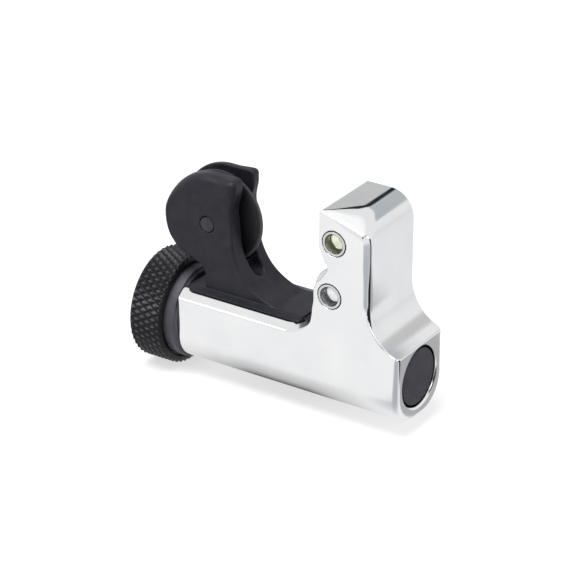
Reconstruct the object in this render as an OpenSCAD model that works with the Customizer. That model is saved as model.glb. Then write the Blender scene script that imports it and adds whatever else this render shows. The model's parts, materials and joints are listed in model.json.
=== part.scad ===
// Screw-fed tube cutter: chromed frame, sliding wheel fork, two rollers and a knurled knob.
// Lengths are in millimetres. Along the beam, places are measured from the frame's knob end,
// and heights from the axis of the bore; the last module moves both to the part's own origin.

/* [Frame] */
// Length of the beam from the knob end to the plugged end
frame_len = 49.6; // [47:0.1:56]
// Width of the frame across both cheeks
frame_w = 16.2; // [15.8:0.1:18]
// Bore axis to the underside of the beam
beam_drop = 8.2; // [7.8:0.1:9.5]
// Bore axis to the flat rails that the slide runs on
rail_rise = 7.5; // [7.3:0.1:8.2]
// Radius along both lower corners of the beam
belly_r = 6.5; // [4:0.1:7.4]
// Rounding of the beam's end edges
end_round = 1.25; // [0.5:0.05:1.8]
// Width of the bevel outside each rail
rail_bevel_w = 2.1; // [1:0.1:2.2]
// Height of the bevel outside each rail
rail_bevel_h = 1.5; // [0.8:0.1:2.5]
// Diameter of the bore through the beam
bore_d = 12; // [11.6:0.1:12.4]
// Chamfer at the bore's plugged mouth
bore_chamfer = 0.4; // [0.2:0.05:0.6]

/* [Upright] */
// Bore axis to the top of the upright
upright_rise = 32.8; // [32.6:0.1:36]
// Length of the beam left behind the upright
heel_len = 6.8; // [5.5:0.1:8]
// Back face of the upright to the edge of the cheeks
cheek_depth = 10.55; // [10:0.05:11]
// Rounding of the top rear corner, seen from the side
crown_r = 5; // [3:0.1:5.2]
// Radius of the hollow between the upright and the heel
swoop_r = 9.1; // [8:0.1:10]
// Bore axis to the centre of that hollow
swoop_rise = 15.6; // [15:0.1:17]
// Gap between the cheeks, where the rollers sit
cheek_gap = 11.7; // [11.6:0.1:12]
// Edge of each cheek outside the lower roller pin
lobe_r = 3.6; // [3.2:0.1:4]
// Radius of the notch in the cheek edges between the pins
notch_r = 1.4; // [1:0.1:1.7]
// Radius of the blend from the rails up to the cheeks
foot_r = 7.2; // [6:0.1:7.6]
// Turn of the sloped facets beside the top, seen from above
facet_turn = 35.7; // [30:0.5:45]
// Slope of those facets
facet_slope = 29.7; // [20:0.5:35]
// Width of the flat on the upright's rear vertical corners
corner_flat = 1.6; // [0.8:0.1:2.4]

/* [Rollers] */
// Diameter of both rollers
roller_d = 9.2; // [8.4:0.1:9.3]
// Back face of the upright to the upper roller's axis
upper_pin_set = 7.3; // [7.2:0.05:7.6]
// Bore axis to the upper roller's axis
upper_pin_rise = 26.8; // [26.4:0.1:27]
// Back face of the upright to the lower roller's axis
lower_pin_set = 8.2; // [8:0.05:8.5]
// Bore axis to the lower roller's axis
lower_pin_rise = 15.9; // [15.6:0.1:16.2]
// Diameter of the roller pins
roller_pin_d = 5.06; // [4:0.02:5.4]
// Diameter of the hollow in each end of a roller pin
roller_pin_hollow_d = 4; // [2.5:0.1:4.2]
// Depth of that hollow to the start of its cone
roller_pin_hollow_depth = 2.4; // [1:0.1:4]

/* [Slide] */
// Width of the slide's fork and body
slide_w = 9.8; // [9.4:0.1:10.4]
// Width of the slot for the cutter wheel
fork_slot_w = 3.7; // [3.6:0.05:4.2]
// How far the slot and the wheel sit to the far side of the middle
wheel_plane = 0.4; // [0:0.05:0.5]
// Frame end to the wheel pin with the slide fully open
wheel_pin_x = 5.05; // [4.9:0.05:5.4]
// Bore axis to the wheel pin
wheel_pin_rise = 21.65; // [21.4:0.05:22]
// Radius of the fork's round back
head_r = 9.8; // [9.5:0.1:10]
// Wheel pin to the front edge of the fork
fork_reach = 6.05; // [5.8:0.05:6.3]
// Bore axis to the lower end of the fork's upright front edge
fork_nose_rise = 28.6; // [27.5:0.1:29.5]
// Bore axis to the waist in the front edge of the fork
fork_waist_rise = 25.2; // [24:0.1:26]
// Depth of that waist
fork_waist = 0.95; // [0.5:0.05:1.2]
// Fork's front edge to the start of the hollow front of the slide
sweep_in = 0.35; // [0.2:0.05:0.5]
// Radius of that hollow front
slide_sweep_r = 11.3; // [10.8:0.1:11.5]
// Frame end to the back face of the slide's neck
neck_back = 4.5; // [4.4:0.05:5]
// Frame end to the front of the slide's tongue
tongue_end = 26.9; // [24:0.1:27]
// Thickness of the flange and tongue on the rails
flange_t = 0.7; // [0.5:0.05:1]
// Thickness of their thin side edges
flange_edge = 0.25; // [0.2:0.05:0.4]
// Width of the flange and tongue
flange_w = 13; // [12.4:0.1:13.2]
// Radius of the flange's back corners
flange_corner_r = 2.75; // [2:0.05:3.5]
// Frame end to the flange's back
flange_back = 1.1; // [0.8:0.1:2]
// Width of the neck that passes through the beam's top
neck_w = 6.4; // [5.6:0.1:7]
// Length of the barrel that runs in the bore
barrel_len = 12.4; // [11:0.1:14]
// Width of the relief below the fork slot
relief_w = 3.4; // [3:0.1:3.6]
// Bore axis to the bottom of that relief
relief_rise = 11.2; // [10.8:0.1:11.6]

/* [Cutter wheel] */
// Diameter of the cutter wheel
wheel_d = 18.6; // [17:0.1:18.8]
// Thickness of the wheel's blade beside its hub
blade_t = 1; // [0.6:0.05:1.4]
// Width of the sharpened rim, seen from the side
edge_h = 1.9; // [1:0.1:2.5]
// Diameter of the wheel's hub
hub_d = 7; // [6:0.1:8]
// Width of the wheel's hub
hub_w = 2.4; // [2:0.05:2.5]
// Diameter of the wheel pin's shank
wheel_pin_d = 2.5; // [2:0.05:2.7]
// Diameter of the wheel pin's flush head
wheel_pin_head_d = 3.1; // [2.9:0.05:3.6]
// Length of that head
wheel_pin_head_len = 1.2; // [0.8:0.1:1.6]
// Outer diameter of the two wheel washers
washer_d = 6.4; // [5.5:0.1:7]
// Thickness of each wheel washer
washer_t = 0.5; // [0.4:0.05:0.52]
// Outer diameter of the pin's clip
clip_d = 5.2; // [4.4:0.1:6]
// Thickness of the clip
clip_t = 0.5; // [0.4:0.05:0.6]

/* [Knob and screw] */
// Diameter of the knob over its knurl
knob_d = 22.34; // [20:0.02:24]
// Length of the knob
knob_len = 7.26; // [6:0.02:9]
// Depth of the bevel at both rims of the knob
knob_bevel = 0.7; // [0.5:0.05:1]
// Length of that bevel
knob_bevel_len = 0.43; // [0.3:0.01:0.8]
// Diamonds of the knurl round the knob
knurl_count = 48; // [40:1:54]
// Rows of knurl points from rim to rim
knurl_rows = 5; // [3:1:7]
// Depth of the knurl's grooves
knurl_depth = 0.42; // [0.2:0.02:0.5]
// Diameter of the smooth collar between knob and frame
collar_d = 18.57; // [17:0.01:19]
// Length of that collar
collar_len = 2.7; // [2:0.05:3.5]
// How far the collar sits inside the knob's rim
collar_cover = 0.5; // [0.3:0.05:0.8]
// Length of the bushing's spigot in the bore
spigot_len = 2.2; // [1.8:0.05:2.4]
// Diameter of the feed screw
screw_d = 6; // [5.4:0.1:6.4]
// Diameter of the screw's thrust shoulder
shoulder_d = 9.2; // [8:0.1:10]
// Thickness of that shoulder
shoulder_t = 1; // [0.8:0.05:1.1]
// Outer diameter of the thrust washer
thrust_d = 10.4; // [9:0.1:11]
// Thickness of the thrust washer
thrust_t = 0.6; // [0.4:0.05:0.7]
// Length of the feed nut in the barrel
nut_len = 7; // [5:0.1:8]
// Outer diameter of the feed nut
nut_d = 8.4; // [7.6:0.1:9]
// Diameter of the screw that holds the knob
knob_screw_d = 3; // [2.5:0.1:3]
// Length of that screw below its head
knob_screw_len = 7; // [5:0.1:8]
// Diameter of its head
knob_screw_head_d = 5.6; // [5:0.1:6]
// Height of its head
knob_screw_head_h = 1.7; // [1.2:0.1:2]
// Size across the flats of the socket in its head
socket_af = 2.5; // [2:0.1:3]
// Diameter of the recess in the knob's outer face
recess_d = 12; // [8:0.1:16]
// Depth of that recess
recess_depth = 2.6; // [2.4:0.1:3]
// Thickness of the lock washer
lock_washer_t = 0.6; // [0.4:0.05:0.8]

/* [Plug] */
// Length of the plug in the bore's far end
plug_len = 3; // [2:0.1:4]
// How far the plug sits below the beam's end face
plug_recess = 0.35; // [0.2:0.05:0.8]
// Wall of the hollow plug
plug_wall = 1; // [0.7:0.1:1.5]

/* [Clearances] */
// Radial running clearance of shafts in their bores
run_clear = 0.05; // [0.02:0.01:0.1]
// Clearance between pieces pressed together
press_clear = 0.01; // [0:0.005:0.03]
// Gap under the slide's flange, and at the faces that rub
face_clear = 0.05; // [0.03:0.01:0.1]
// Room left around pieces that move past each other
room = 0.4; // [0.35:0.05:0.45]

/* [Hidden] */

$fn = 64;
arc_steps = 12;
over = 1;

notch_in_share = 0.25;
notch_half_turn = 50;
lobe_start = 125;
head_low_angle = 207;
chin_drop_share = 0.64;
chin_back_share = 0.74;
throat_rise_share = 0.46;
throat_back_share = 0.09;
neck_corner_share = 0.29;
fork_round_share = 0.8;
groove_share = 0.38;
socket_share = 0.6;
flat_share = 0.6;

upright_back = frame_len - heel_len;
cheek_front = upright_back - cheek_depth;
upper_pin_x = upright_back - upper_pin_set;
lower_pin_x = upright_back - lower_pin_set;
notch_x = cheek_front + notch_r * notch_in_share;
notch_rise = (upper_pin_rise + lower_pin_rise) / 2;
foot_x = lower_pin_x - lobe_r - foot_r;
wheel_stop = (wheel_d + roller_d) / 2 + room;
travel = lower_pin_x - wheel_pin_x - sqrt(pow(wheel_stop, 2) - pow(wheel_pin_rise - lower_pin_rise, 2));
swoop_x = upright_back + swoop_r;
swoop_end = acos((frame_len - swoop_x) / swoop_r);
pocket_r = roller_d / 2 + room;
roller_w = cheek_gap - room;

slot_w = neck_w + 2 * run_clear + room / 2;
neck_end = neck_back + barrel_len;
slide_base = rail_rise + face_clear;
tongue_top = slide_base + flange_t;
fork_front = wheel_pin_x + fork_reach;
sweep_x = fork_front - sweep_in + slide_sweep_r;
sweep_rise = tongue_top + slide_sweep_r;
fork_slot_r = wheel_d / 2 + room + face_clear;
chin_rise = wheel_pin_rise - head_r * chin_drop_share;
chin_x = wheel_pin_x - head_r * chin_back_share;
throat_rise = tongue_top + head_r * throat_rise_share;
throat_x = neck_back - head_r * throat_back_share;
neck_corner_rise = tongue_top + head_r * neck_corner_share;

knob_face = -collar_len + collar_cover;
knob_back = knob_face - knob_len;
collar_seat = -collar_len - room / 4;
thrust_face = spigot_len + face_clear;
shoulder_face = thrust_face + thrust_t + face_clear;
screw_tip = neck_back + travel + nut_len + run_clear;
journal_end = knob_back + recess_depth + lock_washer_t;
nut_back = neck_back + room;
drive_r = screw_d / 2 - room;

origin_x = (frame_len + knob_back) / 2;
origin_rise = knob_d / 2;

// Points of an arc in the side view, from one angle to another
function arc(x, z, r, from, to) =
    [for (i = [0:arc_steps]) let (a = from + (to - from) * i / arc_steps) [x + r * cos(a), z + r * sin(a)]];

// A side-view outline made as thick as width, centred on the middle plane
module side_plate(width) {
    rotate([90, 0, 0]) linear_extrude(height = width, center = true) children();
}

// A cylinder across the tool, from one side distance to another
module cross_rod(x, z, r, from, to) {
    translate([x, from, z]) rotate([-90, 0, 0]) cylinder(r = r, h = to - from);
}

// A cylinder along the bore axis
module axial_rod(r, from, to) {
    translate([from, 0, 0]) rotate([0, 90, 0]) cylinder(r = r, h = to - from);
}

// Turns a half profile drawn as [along the axis, radius] about the bore axis
module turned(points) {
    rotate([0, 90, 0]) rotate_extrude() polygon([for (p = points) [p[1], p[0]]]);
}

// Side outline of the whole frame
module frame_outline() {
    polygon(concat(
        arc(end_round, -beam_drop + end_round, end_round, 180, 270),
        arc(frame_len - end_round, -beam_drop + end_round, end_round, 270, 360),
        arc(swoop_x, swoop_rise, swoop_r, 360 - swoop_end, 180),
        arc(upright_back - crown_r, upright_rise - crown_r, crown_r, 0, 90),
        arc(cheek_front + end_round / 2, upright_rise - end_round / 2, end_round / 2, 90, 180),
        [[cheek_front, upper_pin_rise - notch_r]],
        arc(notch_x, notch_rise, notch_r, notch_half_turn, -notch_half_turn),
        arc(lower_pin_x, lower_pin_rise, lobe_r, lobe_start, 180),
        arc(foot_x, rail_rise + foot_r, foot_r, 0, -90),
        arc(end_round, rail_rise - end_round, end_round, 90, 180)));
}

// End view of the frame: straight sides over a rounded belly
module frame_section() {
    corner_y = frame_w / 2 - belly_r;
    corner_z = belly_r - beam_drop;
    translate([-frame_w / 2, corner_z]) square([frame_w, upright_rise - corner_z]);
    translate([-corner_y, -beam_drop]) square([2 * corner_y, beam_drop + corner_z + over]);
    for (side = [-1, 1]) translate([side * corner_y, corner_z]) circle(r = belly_r);
}

// View from above: the beam's rounded vertical ends
module frame_plan() {
    translate([end_round, -frame_w / 2]) square([frame_len - 2 * end_round, frame_w]);
    translate([0, -frame_w / 2 + end_round]) square([frame_len, frame_w - 2 * end_round]);
    for (x = [end_round, frame_len - end_round], side = [-1, 1])
        translate([x, side * (frame_w / 2 - end_round)]) circle(r = end_round);
}

module frame_blank() {
    intersection() {
        side_plate(frame_w) frame_outline();
        rotate([90, 0, 90]) linear_extrude(height = frame_len) frame_section();
        translate([0, 0, -beam_drop]) linear_extrude(height = beam_drop + upright_rise) frame_plan();
    }
}

// The bevels outside the rails, each run out up the cheek's foot by a tilted cylinder
module rail_bevels() {
    tilt = atan(rail_bevel_h / rail_bevel_w);
    inner = frame_w / 2 - rail_bevel_w;
    low = rail_rise - rail_bevel_h;
    for (side = [-1, 1]) scale([1, side, 1]) {
        translate([-over, 0, 0]) rotate([90, 0, 90]) linear_extrude(height = foot_x + over)
            polygon([[inner, rail_rise], [frame_w / 2, low], [frame_w / 2 + over, low],
                     [frame_w / 2 + over, rail_rise + over], [inner, rail_rise + over]]);
        translate([foot_x, inner, rail_rise + foot_r / cos(tilt)]) rotate([-90 - tilt, 0, 0])
            cylinder(r = foot_r, h = frame_w);
    }
}

// The sloped facets beside the upright's flat top
module top_facets() {
    block = 2 * frame_w;
    for (side = [-1, 1]) scale([1, side, 1])
        translate([cheek_front, -frame_w / 2, upright_rise]) rotate([0, 0, facet_turn])
            rotate([facet_slope, 0, 0]) translate([-block / 2, -block, 0])
                cube([2 * block, 2 * block, block]);
}

// The flats on the upright's rear vertical corners, run out down the hollow by tilted cylinders
module rear_corners() {
    reach = corner_flat / sqrt(2);
    for (side = [-1, 1]) scale([1, side, 1]) {
        translate([upright_back, frame_w / 2, swoop_rise]) rotate([0, 0, 45])
            translate([-corner_flat / 2, -corner_flat / 2, 0]) cube([corner_flat, corner_flat, upright_rise]);
        translate([upright_back + swoop_r / cos(45), frame_w / 2 - reach, swoop_rise])
            rotate([0, 0, 45]) rotate([-90, 0, 0]) cylinder(r = swoop_r, h = frame_w);
    }
}

// The room between the cheeks for both rollers and for the slide's tongue
module roller_pocket() {
    tongue_room = tongue_end + travel + room;
    mouth = foot_x - over;
    side_plate(flange_w + room)
        translate([mouth, rail_rise]) square([tongue_room - mouth, flange_t + room]);
    side_plate(cheek_gap) {
        translate([upper_pin_x, upper_pin_rise]) circle(r = pocket_r);
        translate([lower_pin_x, lower_pin_rise]) circle(r = pocket_r);
        translate([mouth, rail_rise]) square([lower_pin_x - mouth, upper_pin_rise - rail_rise]);
        translate([mouth, rail_rise]) square([lower_pin_x + pocket_r - mouth, lower_pin_rise - rail_rise]);
    }
}

// The slot in the beam's top that the slide's neck runs in
module neck_slot() {
    slot_end = neck_end + travel + room;
    translate([-over, -slot_w / 2, 0]) cube([slot_end + over, slot_w, rail_rise + over]);
}

module frame() {
    color("gainsboro") difference() {
        frame_blank();
        rail_bevels();
        top_facets();
        rear_corners();
        roller_pocket();
        neck_slot();
        axial_rod(bore_d / 2, -over, frame_len + over);
        turned([[frame_len - bore_chamfer, 0], [frame_len - bore_chamfer, bore_d / 2],
                [frame_len + over, bore_d / 2 + bore_chamfer + over], [frame_len + over, 0]]);
        cross_rod(upper_pin_x, upper_pin_rise, roller_pin_d / 2 + press_clear, -frame_w, frame_w);
        cross_rod(lower_pin_x, lower_pin_rise, roller_pin_d / 2 + press_clear, -frame_w, frame_w);
    }
}

// A black cap with a hollow inner side
module end_plug() {
    plug_face = frame_len - plug_recess;
    plug_r = bore_d / 2 - press_clear;
    color([0.28, 0.27, 0.31]) turned([
        [plug_face - plug_len, plug_r - plug_wall], [plug_face - plug_wall, plug_r - plug_wall],
        [plug_face - plug_wall, 0], [plug_face, 0], [plug_face, plug_r - bore_chamfer],
        [plug_face - bore_chamfer, plug_r], [plug_face - plug_len, plug_r]]);
}

// The collar outside the frame, with a spigot in the bore and a bearing for the screw
module screw_bushing() {
    collar_edge = knob_bevel / 2;
    hole_r = screw_d / 2 + run_clear;
    spigot_r = bore_d / 2 - press_clear;
    color([0.29, 0.28, 0.32]) turned([
        [-collar_len, hole_r], [-collar_len, collar_d / 2 - collar_edge],
        [-collar_len + collar_edge, collar_d / 2], [-collar_edge, collar_d / 2],
        [0, collar_d / 2 - collar_edge], [0, spigot_r], [spigot_len, spigot_r], [spigot_len, hole_r]]);
}

module thrust_washer() {
    color("goldenrod") difference() {
        axial_rod(thrust_d / 2, thrust_face, thrust_face + thrust_t);
        axial_rod(screw_d / 2 + run_clear, -over, neck_back);
    }
}

// One hardened roller with chamfered rims
module roller(x, z) {
    rim = room / 2;
    translate([x, 0, z]) rotate([-90, 0, 0]) rotate_extrude() polygon([
        [roller_pin_d / 2 + run_clear, -roller_w / 2], [roller_d / 2 - rim, -roller_w / 2],
        [roller_d / 2, -roller_w / 2 + rim], [roller_d / 2, roller_w / 2 - rim],
        [roller_d / 2 - rim, roller_w / 2], [roller_pin_d / 2 + run_clear, roller_w / 2]]);
}

// A pin flush with both cheeks, with a drilled hollow in each end
module roller_pin(x, z) {
    cone_end = frame_w / 2 - roller_pin_hollow_depth - roller_pin_hollow_d / 4;
    translate([x, 0, z]) rotate([-90, 0, 0]) rotate_extrude() polygon([
        [0, -cone_end], [roller_pin_hollow_d / 2, roller_pin_hollow_depth - frame_w / 2],
        [roller_pin_hollow_d / 2, -frame_w / 2], [roller_pin_d / 2, -frame_w / 2],
        [roller_pin_d / 2, frame_w / 2], [roller_pin_hollow_d / 2, frame_w / 2],
        [roller_pin_hollow_d / 2, frame_w / 2 - roller_pin_hollow_depth], [0, cone_end]]);
}

module upper_roller() {
    color("silver") roller(upper_pin_x, upper_pin_rise);
}

module lower_roller() {
    color("silver") roller(lower_pin_x, lower_pin_rise);
}

module upper_roller_pin() {
    color("tan") roller_pin(upper_pin_x, upper_pin_rise);
}

module lower_roller_pin() {
    color("lightsteelblue") roller_pin(lower_pin_x, lower_pin_rise);
}

// Side outline of the fork, the body and the tongue
module slide_outline() {
    top_round = end_round * fork_round_share;
    head_top = wheel_pin_rise + head_r;
    polygon(concat(
        [[neck_back, slide_base], [neck_back, neck_corner_rise], [throat_x, throat_rise],
         [chin_x, chin_rise]],
        arc(wheel_pin_x, wheel_pin_rise, head_r, head_low_angle, 90),
        arc(fork_front - top_round, head_top - top_round, top_round, 90, 0),
        [[fork_front, fork_nose_rise], [fork_front - fork_waist, fork_waist_rise]],
        arc(sweep_x, sweep_rise, slide_sweep_r, 180, 270),
        [[tongue_end, tongue_top], [tongue_end, slide_base]]));
}

// The flange and tongue: one plate on the rails, thinner toward its side edges
module flange_plate() {
    half = flange_w / 2;
    intersection() {
        translate([0, 0, slide_base]) linear_extrude(height = flange_t) polygon(concat(
            arc(flange_back + flange_corner_r, flange_corner_r - half, flange_corner_r, 180, 270),
            [[tongue_end, -half], [tongue_end, half]],
            arc(flange_back + flange_corner_r, half - flange_corner_r, flange_corner_r, 90, 180)));
        translate([flange_back, 0, 0]) rotate([90, 0, 90]) linear_extrude(height = tongue_end) polygon([
            [-half, slide_base], [half, slide_base], [half, slide_base + flange_edge],
            [slide_w / 2, tongue_top], [-slide_w / 2, tongue_top], [-half, slide_base + flange_edge]]);
    }
}

module slide_blank() {
    side_plate(slide_w) slide_outline();
    flange_plate();
    translate([neck_back, -neck_w / 2, 0]) cube([barrel_len, neck_w, slide_base + flange_t / 2]);
    axial_rod(bore_d / 2 - run_clear, neck_back, neck_end);
}

// The slot for the wheel, and the round-bottomed relief below it
module fork_slot() {
    front = sweep_x - slide_sweep_r;
    relief_r = relief_w / 2;
    translate([0, wheel_plane, 0]) {
        side_plate(fork_slot_w) {
            translate([wheel_pin_x, wheel_pin_rise]) circle(r = fork_slot_r);
            translate([wheel_pin_x, wheel_pin_rise]) square([2 * head_r, 2 * head_r]);
            translate([wheel_pin_x - 2 * head_r, wheel_pin_rise]) square([2 * head_r, 2 * head_r]);
            translate([wheel_pin_x - 2 * head_r, wheel_pin_rise - fork_slot_r / 2])
                square([2 * head_r, fork_slot_r]);
        }
        translate([front, 0, relief_rise + relief_r]) rotate([0, 90, 0])
            cylinder(r = relief_r, h = 2 * head_r);
        translate([front, -relief_r, relief_rise + relief_r])
            cube([2 * head_r, relief_w, wheel_pin_rise - relief_rise]);
    }
}

module slide() {
    pin_seat = slide_w / 2 - wheel_pin_head_len;
    color([0.24, 0.23, 0.26]) difference() {
        slide_blank();
        fork_slot();
        cross_rod(wheel_pin_x, wheel_pin_rise, wheel_pin_d / 2 + press_clear, -slide_w, slide_w);
        cross_rod(wheel_pin_x, wheel_pin_rise, wheel_pin_head_d / 2 + press_clear, -slide_w, -pin_seat);
        axial_rod(nut_d / 2 + press_clear, neck_back - over, nut_back + nut_len);
        axial_rod(screw_d / 2 + room, neck_back - over, neck_end + over);
    }
}

module feed_nut() {
    color("goldenrod") difference() {
        axial_rod(nut_d / 2, nut_back, nut_back + nut_len);
        axial_rod(screw_d / 2 + run_clear, neck_back, neck_end);
    }
}

// The hardened disc: a hub, a flat blade and a sharpened rim
module cutter_wheel() {
    bore_r = wheel_pin_d / 2 + run_clear;
    edge_r = wheel_d / 2;
    color("darkgray") translate([wheel_pin_x, wheel_plane, wheel_pin_rise]) rotate([-90, 0, 0])
        rotate_extrude() polygon([
            [bore_r, -hub_w / 2], [hub_d / 2, -hub_w / 2], [hub_d / 2, -blade_t / 2],
            [edge_r - edge_h, -blade_t / 2], [edge_r, 0], [edge_r - edge_h, blade_t / 2],
            [hub_d / 2, blade_t / 2], [hub_d / 2, hub_w / 2], [bore_r, hub_w / 2]]);
}

// The wheel pin, with a flush head in the near ear and a groove for its clip past the far one
module wheel_pin() {
    pin_seat = slide_w / 2 - wheel_pin_head_len;
    groove = slide_w / 2 + face_clear;
    groove_end = groove + clip_t + face_clear;
    color([0.3, 0.29, 0.33]) difference() {
        union() {
            cross_rod(wheel_pin_x, wheel_pin_rise, wheel_pin_d / 2, -pin_seat, groove_end + clip_t);
            cross_rod(wheel_pin_x, wheel_pin_rise, wheel_pin_head_d / 2, -slide_w / 2, -pin_seat);
        }
        difference() {
            cross_rod(wheel_pin_x, wheel_pin_rise, wheel_pin_d, groove - face_clear, groove_end);
            cross_rod(wheel_pin_x, wheel_pin_rise, wheel_pin_d * groove_share, 0, groove_end + clip_t);
        }
    }
}

// Two thin washers that centre the wheel in its slot
module wheel_washers() {
    outer = fork_slot_w / 2;
    color("lightgray") translate([0, wheel_plane, 0])
        for (side = [-1, 1]) scale([1, side, 1]) difference() {
            cross_rod(wheel_pin_x, wheel_pin_rise, washer_d / 2, outer - washer_t, outer);
            cross_rod(wheel_pin_x, wheel_pin_rise, wheel_pin_d / 2 + press_clear, 0, slide_w);
        }
}

// A spring clip with an open side, in the pin's groove
module wheel_pin_clip() {
    near = slide_w / 2;
    grip = wheel_pin_d * groove_share + press_clear;
    color("dimgray") difference() {
        cross_rod(wheel_pin_x, wheel_pin_rise, clip_d / 2, near, near + clip_t);
        cross_rod(wheel_pin_x, wheel_pin_rise, grip, near - over, near + clip_t + over);
        translate([wheel_pin_x - grip, near - over, wheel_pin_rise - clip_d])
            cube([2 * grip, clip_t + 2 * over, clip_d]);
    }
}

// The D shape that drives the knob
module drive_shape(clear) {
    flat = screw_d / 2 + clear;
    rotate([0, 90, 0]) linear_extrude(height = collar_seat - journal_end + over) intersection() {
        circle(r = drive_r + clear);
        translate([-flat, -flat]) square([2 * flat, flat + drive_r * flat_share + clear]);
    }
}

// The screw, with its journal, thrust shoulder and D-shaped end; its thread is left plain
module feed_screw() {
    color("darkgray") difference() {
        union() {
            translate([journal_end, 0, 0]) drive_shape(0);
            axial_rod(screw_d / 2, collar_seat, screw_tip - room);
            axial_rod(screw_d / 2 - room, screw_tip - room - over, screw_tip);
            axial_rod(shoulder_d / 2, shoulder_face, shoulder_face + shoulder_t);
        }
        axial_rod(knob_screw_d / 2 + press_clear, knob_back, journal_end + knob_screw_len + room);
    }
}

// A ring of the knurled drum: points and groove crossings take turns round it
function knurl_ring(x, high, low) = [
    for (i = [0:2 * knurl_count - 1]) let (a = i * 180 / knurl_count, r = i % 2 == 0 ? high : low)
        [x, r * cos(a), r * sin(a)]];

// The knob's drum with its bevelled rims and its diamond knurl, one pyramid to each diamond
module knurled_drum() {
    sides = 2 * knurl_count;
    rim_r = knob_d / 2 - knob_bevel;
    groove_r = knob_d / 2 - knurl_depth;
    first = knob_back + knob_bevel_len;
    step = (knob_len - 2 * knob_bevel_len) / knurl_rows;
    rings = concat(
        [knurl_ring(knob_back, rim_r, rim_r)],
        [for (row = [0:knurl_rows]) row % 2 == 0
            ? knurl_ring(first + row * step, knob_d / 2, groove_r)
            : knurl_ring(first + row * step, groove_r, knob_d / 2)],
        [knurl_ring(knob_face, rim_r, rim_r)]);
    last = len(rings) - 1;
    polyhedron(
        points = [for (ring = rings) each ring],
        faces = concat(
            [[for (i = [0:sides - 1]) i], [for (i = [sides - 1:-1:0]) last * sides + i]],
            [for (row = [0:last - 1], i = [0:sides - 1])
                let (a = row * sides + i, b = row * sides + (i + 1) % sides, c = a + sides, d = b + sides)
                each (row + i) % 2 == 1 ? [[a, c, b], [b, c, d]] : [[a, c, d], [a, d, b]]]));
}

// The knob: a knurled drum, with a recess for its screw and one that covers the collar's edge
module knob() {
    color([0.22, 0.21, 0.24]) difference() {
        knurled_drum();
        axial_rod(recess_d / 2, knob_back - over, knob_back + recess_depth);
        axial_rod(collar_d / 2 + room, collar_seat, knob_face + over);
        translate([journal_end, 0, 0]) drive_shape(press_clear);
        axial_rod(knob_screw_d / 2 + room / 2, knob_back, journal_end + over / 2);
    }
}

// Socket-head screw in the knob's recess
module knob_screw() {
    head_seat = knob_back + recess_depth - lock_washer_t;
    color("silver") difference() {
        union() {
            axial_rod(knob_screw_d / 2, head_seat, journal_end + knob_screw_len);
            axial_rod(knob_screw_head_d / 2, head_seat - knob_screw_head_h, head_seat);
        }
        translate([head_seat - knob_screw_head_h - over, 0, 0]) rotate([0, 90, 0])
            cylinder(d = socket_af / cos(30), h = knob_screw_head_h * socket_share + over, $fn = 6);
    }
}

module lock_washer() {
    seat = knob_back + recess_depth;
    color("lightgray") difference() {
        axial_rod(knob_screw_head_d / 2, seat - lock_washer_t, seat);
        axial_rod(knob_screw_d / 2 + press_clear, seat - over - lock_washer_t, seat + over);
    }
}

// Moves a piece from the frame's own measures to the part's origin
module placed() {
    translate([-origin_x, 0, origin_rise]) children();
}

placed() frame();
placed() end_plug();
placed() screw_bushing();
placed() thrust_washer();
placed() upper_roller();
placed() lower_roller();
placed() upper_roller_pin();
placed() lower_roller_pin();
placed() slide();
placed() feed_nut();
placed() cutter_wheel();
placed() wheel_pin();
placed() wheel_washers();
placed() wheel_pin_clip();
placed() feed_screw();
placed() knob();
placed() knob_screw();
placed() lock_washer();
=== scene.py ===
"""Looks of the tube cutter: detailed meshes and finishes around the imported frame.

Shapes are worked out in millimetres on the bench axes: x from the frame's knob end along the
bore, y across, z up from the bore's axis. to_row() moves them to the part's frame in metres.
"""
import json
import math

import bmesh
import bpy
import numpy as np
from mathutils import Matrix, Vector


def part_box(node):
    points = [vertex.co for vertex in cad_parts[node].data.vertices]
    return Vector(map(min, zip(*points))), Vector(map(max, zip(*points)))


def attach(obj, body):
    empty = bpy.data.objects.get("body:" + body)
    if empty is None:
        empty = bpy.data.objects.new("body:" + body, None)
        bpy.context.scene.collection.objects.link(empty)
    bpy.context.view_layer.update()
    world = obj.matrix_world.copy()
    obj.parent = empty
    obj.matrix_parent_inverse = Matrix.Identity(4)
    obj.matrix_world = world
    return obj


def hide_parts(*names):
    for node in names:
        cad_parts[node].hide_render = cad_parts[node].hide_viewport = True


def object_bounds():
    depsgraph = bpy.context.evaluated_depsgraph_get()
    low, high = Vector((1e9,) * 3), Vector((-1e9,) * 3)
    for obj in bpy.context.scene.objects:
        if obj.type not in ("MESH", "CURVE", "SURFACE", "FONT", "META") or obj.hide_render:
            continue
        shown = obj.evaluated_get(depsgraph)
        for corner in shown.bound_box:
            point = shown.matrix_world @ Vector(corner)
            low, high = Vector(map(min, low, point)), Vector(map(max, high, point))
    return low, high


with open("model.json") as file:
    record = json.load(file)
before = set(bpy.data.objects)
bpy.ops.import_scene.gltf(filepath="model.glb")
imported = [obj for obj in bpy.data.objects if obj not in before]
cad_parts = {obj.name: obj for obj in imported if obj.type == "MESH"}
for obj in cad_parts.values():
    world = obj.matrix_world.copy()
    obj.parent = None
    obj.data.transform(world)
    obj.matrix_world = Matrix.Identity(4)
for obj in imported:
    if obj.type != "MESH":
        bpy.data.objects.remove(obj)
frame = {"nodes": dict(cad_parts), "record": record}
cad_low, cad_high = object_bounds()

MM = 0.001
DEG = math.pi / 180

# Driving dimensions, in millimetres

beam_drop = 8.2
rail_rise = 7.5
belly_r = 6.5
end_round = 1.25
knob_end_round = 0.6
edge_round = 0.3
rail_bevel_w = 2.1
rail_bevel_h = 1.5
rail_bevel_fade = 1.3
rail_bevel_round = 0.3
bore_r = 6.0
mouth_chamfer = 0.4
mouth_round = 0.25
overrun = 1.0

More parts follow.
